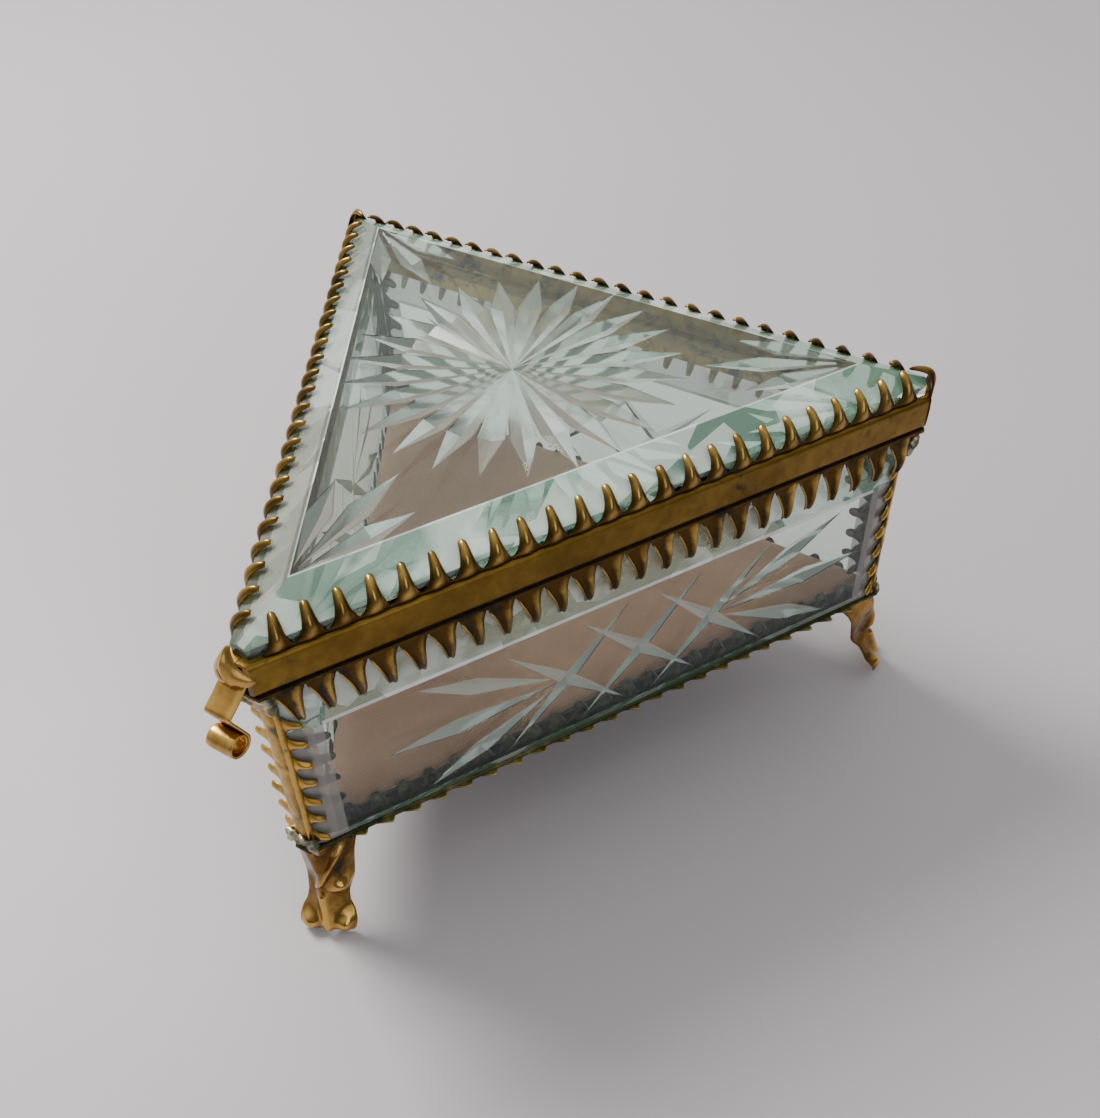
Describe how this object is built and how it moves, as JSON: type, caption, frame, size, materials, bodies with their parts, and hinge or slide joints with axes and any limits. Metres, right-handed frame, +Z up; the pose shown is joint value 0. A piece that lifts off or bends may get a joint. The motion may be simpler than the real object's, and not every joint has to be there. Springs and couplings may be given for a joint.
{
  "type": "glass casket box",
  "caption": "Triangular trinket casket of bevelled cut glass held by stamped brass claws, with a hinged star-cut lid, rolled thumb lift, padded floor and leaf feet.",
  "frame": {"origin": "centre of the bounding box in plan, on the surface the three feet stand on", "axes": "+Z up through the lid, -Y towards the front corner with the thumb lift, +Y towards the hinged back side, +X to the right of someone who faces the thumb lift"},
  "size_m": [0.1636, 0.15, 0.0931],
  "materials": {
    "brass": "satin",
    "glass": "polished",
    "pad": "matte"
  },
  "bodies": {
    "casket": {"pane_right": "glass", "pane_left": "glass", "pane_back": "glass", "base_rail_right": "brass", "base_rail_left": "brass", "base_rail_back": "brass", "base_gallery_right": "brass", "base_gallery_left": "brass", "base_gallery_back": "brass", "corner_post_front": "brass", "corner_post_right": "brass", "corner_post_left": "brass", "sole_strip_right": "brass", "sole_strip_left": "brass", "sole_strip_back": "brass", "inner_gallery_right": "brass", "inner_gallery_left": "brass", "inner_gallery_back": "brass", "inner_post_front": "brass", "inner_post_right": "brass", "inner_post_left": "brass", "floor_glass": "glass", "lining_pad": "pad", "foot_front": "brass", "foot_right": "brass", "foot_left": "brass", "hinge_base_leaf": "brass", "hinge_pin": "brass"},
    "lid": {"lid_glass": "glass", "lid_band_right": "brass", "lid_band_left": "brass", "lid_band_back": "brass", "lid_gallery_right": "brass", "lid_gallery_left": "brass", "lid_gallery_back": "brass", "lid_corner_right": "brass", "lid_corner_left": "brass", "thumb_lift": "brass", "hinge_lid_leaf": "brass"}
  },
  "joints": [
    {"name": "lid_hinge", "type": "hinge", "parent": "casket", "child": "lid", "pos_m": [0, 0.07341, 0.07759], "axis": [-1, 0, 0], "range_deg": [0, 105]}
  ]
}
